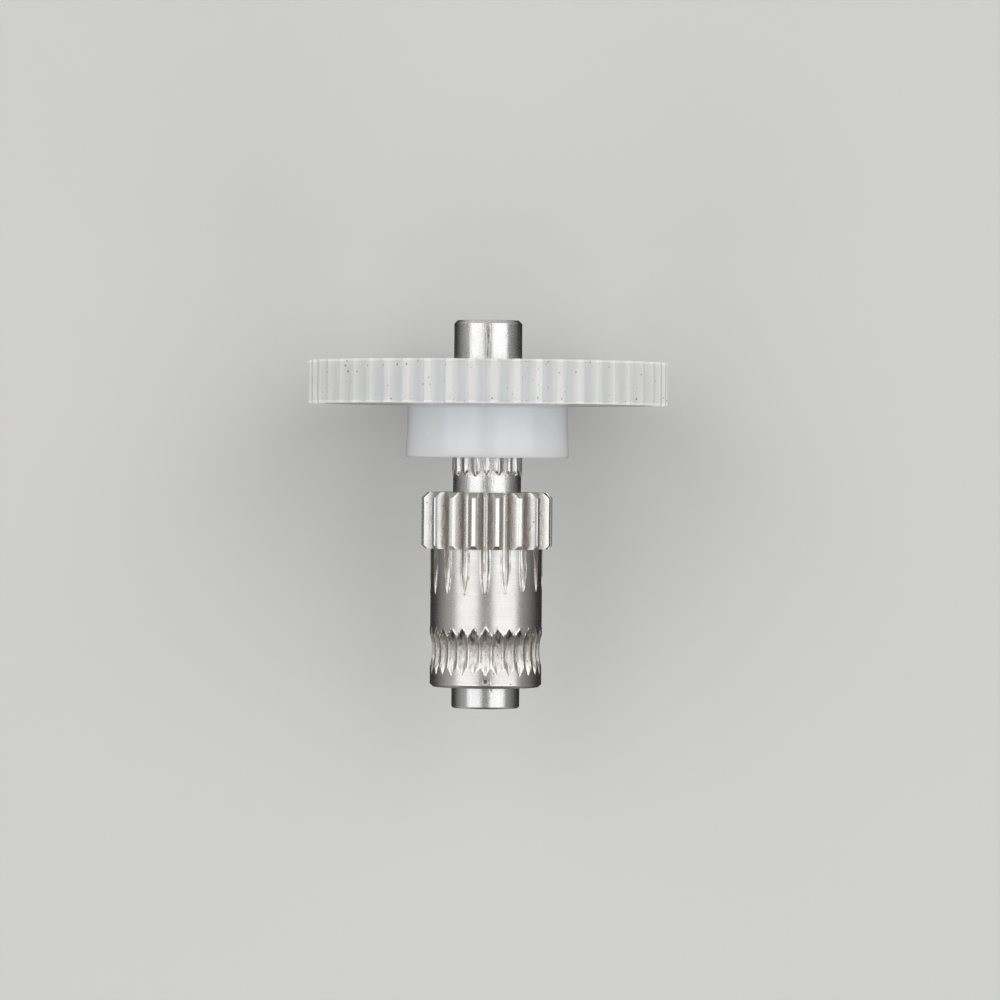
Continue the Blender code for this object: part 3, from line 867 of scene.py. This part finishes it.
def steel(name, bright, dull, hollow, stain_and_reflection_tone, rough, marks, mark_depth, grain_depth):
    """Machined steel with tool marks, a fine grain, blotches, pits, stains, a darker tone in its
    hollows, and painted highlights on its rubbed edges.

    bright and dull are the clean metal's tones. hollow is the tone of the hollows: grime in the
    gears' gaps and groove, and painted shade in bores, sockets and on covered faces. The next tone is
    that of stains, and on the shaft also of a painted dark reflection. marks stretches the tool marks:
    high numbers make them fine along that axis. Depths are in mm.
    """
    material, tree, shader = new_material(name)
    cavity = cavity_of(tree)
    in_hollow = remap(tree, cavity, 0.0, 1.0, 0.0, 1.0)
    lines = noise(tree, in_mm(tree, marks), 1.0, detail=4.0, roughness=0.7)
    grain = noise(tree, in_mm(tree), 9.0, detail=4.0, roughness=0.65)
    pit = pits(tree, cavity)
    rubbed_highlight = rubbed_highlight_mask(tree, cavity)

    tone = mixed(tree, remap(tree, grain, 0.35, 0.65, 0.0, 1.0), dull, bright)
    mottle = noise(tree, in_mm(tree, (2.5, 1.0, 2.5)), 2.0, detail=5.0, roughness=0.7)
    # Darker in hollows: grime in the gears' gaps and groove, painted shade in bores, the socket and on
    # covered faces.
    grime = maths(tree, "MULTIPLY", in_hollow, remap(tree, mottle, 0.35, 0.68, 0.15, 1.0))
    tone = mixed(tree, grime, tone, hollow)
    # Rubbed edges are painted brighter than the clean metal, a painted highlight. Their lower roughness
    # below is real wear.
    tone = mixed(tree, rubbed_highlight, tone, tuple(min(1.0, RUBBED_HIGHLIGHT_GAIN * share) for share in bright))
    # Stains darken the tone, and on the shaft so does the painted dark reflection.
    stain_and_reflection = maths(tree, "MAXIMUM", pit, remap(tree, cavity, 1.2, 2.4, 0.0, 0.9))
    shade = maths(tree, "MULTIPLY", stain_and_reflection, 0.85)
    tree.links.new(mixed(tree, shade, tone, stain_and_reflection_tone), shader.inputs["Base Color"])

    blotch = noise(tree, in_mm(tree), 0.9, detail=2.0)
    roughness = remap(tree, blotch, 0.3, 0.7, rough - 0.03, rough + 0.04)
    roughness = maths(tree, "ADD", roughness, remap(tree, grain, 0.3, 0.7, -0.03, 0.03))
    roughness = maths(tree, "ADD", roughness, remap(tree, lines, 0.3, 0.7, -0.04, 0.04))
    roughness = maths(tree, "ADD", roughness, maths(tree, "MULTIPLY", in_hollow, 0.04))
    roughness = maths(tree, "SUBTRACT", roughness, maths(tree, "MULTIPLY", rubbed_highlight, 0.06))
    tree.links.new(roughness, shader.inputs["Roughness"])

    dents = maths(tree, "SUBTRACT", 1.0, pit)
    torn = torn_metal(tree, cavity, in_hollow)
    layers = [(lines, mark_depth), (grain, grain_depth), (dents, PIT_DEPTH), (torn, TORN_DEPTH)]
    tree.links.new(bumped(tree, layers), shader.inputs["Normal"])
    shader.inputs["Metallic"].default_value = 1.0
    return material


def specks(tree, along, on_rim, on_teeth):
    """Small specks of all sizes, most of them on the teeth near the rim's two edges."""
    cells = add(tree, "ShaderNodeTexVoronoi", {"Vector": in_mm(tree, (1.0, 0.8, 1.0)), "Scale": 2.7})
    dice = add(tree, "ShaderNodeSeparateColor", {0: cells.outputs["Color"]}).outputs
    size = remap(tree, dice[1], 0.0, 1.0, 0.03, 0.17)
    beyond = maths(tree, "SUBTRACT", cells.outputs["Distance"], size)
    speck = remap(tree, beyond, 0.0, 0.06, 1.0, 0.0)
    off_centre = maths(tree, "SUBTRACT", along, (LARGE_START + LARGE_END) / 2 / MM)
    off_centre = maths(tree, "ABSOLUTE", off_centre)
    wanted = remap(tree, off_centre, 0.7, 1.35, 0.66, 0.1)
    wanted = maths(tree, "MAXIMUM", wanted, remap(tree, on_teeth, 0.0, 1.0, 0.95, 0.0))
    speck = maths(tree, "MULTIPLY", speck, maths(tree, "GREATER_THAN", dice[0], wanted))
    speck = maths(tree, "MULTIPLY", speck, on_rim)
    return maths(tree, "MULTIPLY", speck, remap(tree, dice[2], 0.0, 1.0, 0.4, 0.9))


def plastic_tone(tree, on_rim, cavity, edge_highlight):
    """Cool on the hub, and on the gear warm with paler gaps and white edges.

    The hub is painted paler than the rim: painted light against the shade that the rim throws on
    it. The rim's warmth is its own dirtier colour. The gaps' paleness is painted light against the
    shade in them, and the white edges are a painted highlight.
    """
    cloud = remap(tree, noise(tree, in_mm(tree), 0.5, detail=2.0), 0.3, 0.7, 0.0, 1.0)
    # The hub's tones are paler than the rim's: painted light on the hub.
    cool = mixed(tree, cloud, (0.84, 0.875, 0.985), (0.87, 0.90, 1.0))
    warm = mixed(tree, cloud, (0.735, 0.74, 0.72), (0.78, 0.785, 0.775))
    # Paler where cavity is set, in the gaps, the hub's fillet and the bore's edge: painted light against
    # the shade there.
    warm = mixed(tree, remap(tree, cavity, 0.0, 1.0, 0.0, 0.9), warm, (0.845, 0.87, 0.885))
    # A painted highlight along the broken edges.
    warm = mixed(tree, edge_highlight, warm, (0.99, 0.99, 0.985))
    return mixed(tree, on_rim, cool, warm)


def natural_plastic():
    """Unfilled acetal: translucent and satin, glossier on the hub, and freckled on the gear."""
    material, tree, shader = new_material("natural_plastic")
    along = add(tree, "ShaderNodeSeparateXYZ", {0: in_mm(tree)}).outputs["Y"]
    across = add(tree, "ShaderNodeVectorMath", {0: in_mm(tree, (1.0, 0.0, 1.0))}, operation="LENGTH")
    from_axis = across.outputs["Value"]
    on_teeth = remap(tree, from_axis, 11.6, 12.1, 0.0, 1.0)
    past_hub = remap(tree, along, LARGE_START / MM - 0.35, LARGE_START / MM - 0.1, 0.0, 1.0)
    off_hub = remap(tree, from_axis, 6.1, 6.6, 0.0, 1.0)
    on_rim = maths(tree, "MAXIMUM", past_hub, off_hub)
    cavity = cavity_of(tree)
    # Mask of the painted highlight on the rim's edges
    edge_highlight = remap(tree, cavity, -0.1, -0.7, 0.0, 1.0)
    base = plastic_tone(tree, on_rim, cavity, edge_highlight)
    speck = specks(tree, along, on_rim, on_teeth)
    tree.links.new(mixed(tree, speck, base, SPECK_BROWN), shader.inputs["Base Color"])

    scuff = noise(tree, in_mm(tree, (1.0, 5.0, 1.0)), 1.2, detail=5.0, roughness=0.7)
    fine = noise(tree, in_mm(tree), 14.0, detail=2.0)
    gloss = remap(tree, scuff, 0.3, 0.7, 0.16, 0.24)
    gloss = maths(tree, "ADD", gloss, maths(tree, "MULTIPLY", on_rim, 0.12))
    tree.links.new(gloss, shader.inputs["Roughness"])
    tree.links.new(bumped(tree, [(scuff, 0.0015), (fine, 0.0008)]), shader.inputs["Normal"])
    # Less subsurface under the edges' painted highlight.
    tree.links.new(remap(tree, edge_highlight, 0.0, 1.0, 1.0, 0.25), shader.inputs["Subsurface Weight"])
    shader.inputs["Subsurface Radius"].default_value = (1.0, 0.97, 0.92)
    shader.inputs["Subsurface Scale"].default_value = 4.0 * MM
    shader.inputs["IOR"].default_value = ACETAL_IOR
    return material


def pale_floor():
    material, tree, shader = new_material("pale_floor")
    cloud = noise(tree, in_mm(tree), 0.02, detail=2.0)
    tone = mixed(tree, cloud, (0.70, 0.70, 0.695), (0.73, 0.73, 0.725))
    tree.links.new(tone, shader.inputs["Base Color"])
    shader.inputs["Roughness"].default_value = 0.9
    shader.inputs["Specular IOR Level"].default_value = 0.1
    return material


# ---------------------------------------------------------------- stage

FLOOR_GAP = 0.02 * MM
FLOOR_RADIUS = 0.9
FLOOR_SWEEP = 0.35
WALL_HEIGHT = 1.4
CAMERA_DISTANCE = 0.35
CAMERA_TARGET = (0.96 * MM, 15.27 * MM, 0.0)
CAMERA_LEAN = math.radians(0.565)
CAMERA_ROLL = math.radians(0.48)
CAMERA_SENSOR = 36.0
CAMERA_LENS = 171.4


def make_floor():
    """Flat pale floor that turns up into a round wall far from the object."""
    floor_z = CAD_BOX[0].z - FLOOR_GAP
    outline = [(0.0, 0.0), (FLOOR_RADIUS / 2, 0.0)]
    for turn in np.linspace(0, math.pi / 2, 12):
        place = FLOOR_RADIUS + FLOOR_SWEEP * math.sin(turn), FLOOR_SWEEP * (1 - math.cos(turn))
        outline.append(place)
    outline += [(FLOOR_RADIUS + FLOOR_SWEEP, WALL_HEIGHT), (0.0, WALL_HEIGHT)]
    angles = even_angles(96)
    rows = [(height, angles, radius, 0.0) for radius, height in outline]
    mesh = skin("floor", rows, bored=False)
    mesh.transform(Matrix.Translation((0, 0, floor_z)) @ Matrix.Rotation(math.pi / 2, 4, "X"))

    # The skin is closed, so its lid comes off, and its faces turn towards the object
    sheet = bmesh.new()
    sheet.from_mesh(mesh)
    top = floor_z + WALL_HEIGHT - 1.0 * MM
    lid = [face for face in sheet.faces if face.calc_center_median().z > top]
    bmesh.ops.delete(sheet, geom=lid, context="FACES")
    bmesh.ops.reverse_faces(sheet, faces=sheet.faces)
    sheet.to_mesh(mesh)
    sheet.free()
    floor = shaded("floor", mesh)
    floor.data.materials.append(pale_floor())
    floor.visible_glossy = False


def direction(lateral_degrees, along_degrees):
    """Unit vector from straight up, leaned towards +X and then towards +Y."""
    lateral, along = math.radians(lateral_degrees), math.radians(along_degrees)
    level = math.cos(along)
    return Vector((math.sin(lateral) * level, math.sin(along), math.cos(lateral) * level))


def soft_box(name, lateral, along, width, height, distance, radiance):
    """Rectangular light that faces the object. width runs across the shaft, and height along it."""
    middle = Vector((0, (SHAFT_START + SHAFT_END) / 2, 0))
    toward = direction(lateral, along)
    data = bpy.data.lights.new(name, "AREA")
    data.shape = "RECTANGLE"
    data.size, data.size_y = width, height
    data.energy = radiance * math.pi * width * height
    light = bpy.data.objects.new(name, data)
    bpy.context.scene.collection.objects.link(light)
    across = Vector((toward.z, 0, -toward.x)).normalized()
    upright = toward.cross(across)
    turned = Matrix((across, upright, toward)).transposed().to_4x4()
    light.matrix_world = Matrix.Translation(middle + toward * distance) @ turned
    light.visible_camera = False
    return light


def room():
    """World that is bright above the horizon, dark below it, and a little brighter towards -X.

    It is brightest towards +Y. Towards -Y it is dark high up and near the axis, which are the parts
    that the filament groove's far ends and the drive end mirror, and bright between them.
    """
    world = bpy.data.worlds.new("studio")
    world.use_nodes = True
    tree = world.node_tree
    place = add(tree, "ShaderNodeTexCoord").outputs["Generated"]
    toward = add(tree, "ShaderNodeSeparateXYZ", {0: place}).outputs
    along = maths(tree, "MULTIPLY", maths(tree, "ABSOLUTE", toward["Y"]), 0.5)
    height = maths(tree, "ADD", toward["Z"], along)
    level = remap(tree, height, -0.6, 0.15, 0.05, 0.5)
    between = remap(tree, toward["Z"], 0.3, 0.65, 1.3, 0.05)
    ends = remap(tree, toward["Y"], 0.0, 0.5, 0.84, 1.3)
    ends = maths(tree, "MULTIPLY", ends, remap(tree, toward["Y"], -0.6, 0.0, between, 1.0))
    ends = maths(tree, "MULTIPLY", ends, remap(tree, toward["Y"], -1.0, -0.75, 0.2, 1.0))
    aside = remap(tree, toward["X"], -0.7, 0.7, 1.1, 0.8)
    radiance = maths(tree, "MULTIPLY", maths(tree, "MULTIPLY", level, ends), aside)
    background = tree.nodes["Background"]
    background.inputs["Color"].default_value = (1.0, 0.985, 0.97, 1.0)
    tree.links.new(radiance, background.inputs["Strength"])
    bpy.context.scene.world = world


def light_studio():
    """Two soft boxes that the steel mirrors as bright bands, and two fills that it doesn't mirror."""
    soft_box("left_box", -39.0, 14.0, 0.50, 0.50, 0.52, 1.2)
    soft_box("right_box", 40.0, 14.0, 0.55, 0.50, 0.52, 1.38)
    for name, lateral in (("left_fill", -42.0), ("right_fill", 42.0)):
        fill = soft_box(name, lateral, -35.0, 0.35, 0.35, 0.5, 0.95)
        fill.visible_glossy = False
    room()


def aim_camera():
    """Looks down on the shaft, leaned towards +Y and rolled by half a degree each."""
    back = Vector((0.0, math.sin(CAMERA_LEAN), math.cos(CAMERA_LEAN)))
    up = Vector((-math.sin(CAMERA_ROLL), math.cos(CAMERA_ROLL), 0.0))
    up = (up - back * up.dot(back)).normalized()
    right = up.cross(back)
    data = bpy.data.cameras.new("camera")
    data.sensor_width = CAMERA_SENSOR
    data.lens = CAMERA_LENS
    data.clip_start, data.clip_end = 0.01, 10.0
    camera = bpy.data.objects.new("camera", data)
    bpy.context.scene.collection.objects.link(camera)
    turned = Matrix((right, up, back)).transposed().to_4x4()
    place = Vector(CAMERA_TARGET) + back * CAMERA_DISTANCE
    camera.matrix_world = Matrix.Translation(place) @ turned
    bpy.context.scene.camera = camera


# ---------------------------------------------------------------- the object


def dress(piece, node, material):
    """Gives a piece its material, hangs it under the root body, and hides the imported node it stands
    for.
    """
    piece.data.materials.clear()
    piece.data.materials.append(material)
    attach(piece, "root")
    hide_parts(node)


def shaft_steel():
    return steel(
        "shaft_steel",
        bright=(0.70, 0.70, 0.70),
        dull=(0.57, 0.57, 0.575),
        hollow=(0.50, 0.48, 0.45),
        # Tone of stains and of the painted dark reflection along the bar's top
        stain_and_reflection_tone=(0.14, 0.16, 0.20),
        rough=0.24,
        marks=(5.0, 0.3, 5.0),
        mark_depth=0.004,
        grain_depth=0.002,
    )


def gear_steel():
    return steel(
        "gear_steel",
        bright=(0.66, 0.65, 0.63),
        dull=(0.58, 0.57, 0.55),
        hollow=(0.46, 0.41, 0.34),
        stain_and_reflection_tone=(0.10, 0.09, 0.08),
        rough=0.28,
        marks=(0.12, 16.0, 0.12),
        mark_depth=0.0014,
        grain_depth=0.002,
    )


def black_steel():
    return steel(
        "black_steel",
        bright=(0.075, 0.075, 0.08),
        dull=(0.035, 0.035, 0.04),
        hollow=(0.01, 0.01, 0.01),
        stain_and_reflection_tone=(0.005, 0.005, 0.005),
        rough=0.36,
        marks=(2.0, 2.0, 2.0),
        mark_depth=0.001,
        grain_depth=0.003,
    )


def main():
    aim_camera()
    dress(make_shaft(), "shaft", shaft_steel())
    dress(make_large_gear(), "large_gear", natural_plastic())
    dress(make_drive_gear(), "drive_gear", gear_steel())
    dress(make_set_screw(), "set_screw", black_steel())
    make_floor()
    light_studio()
    bpy.context.scene.view_settings.view_transform = "Standard"


main()
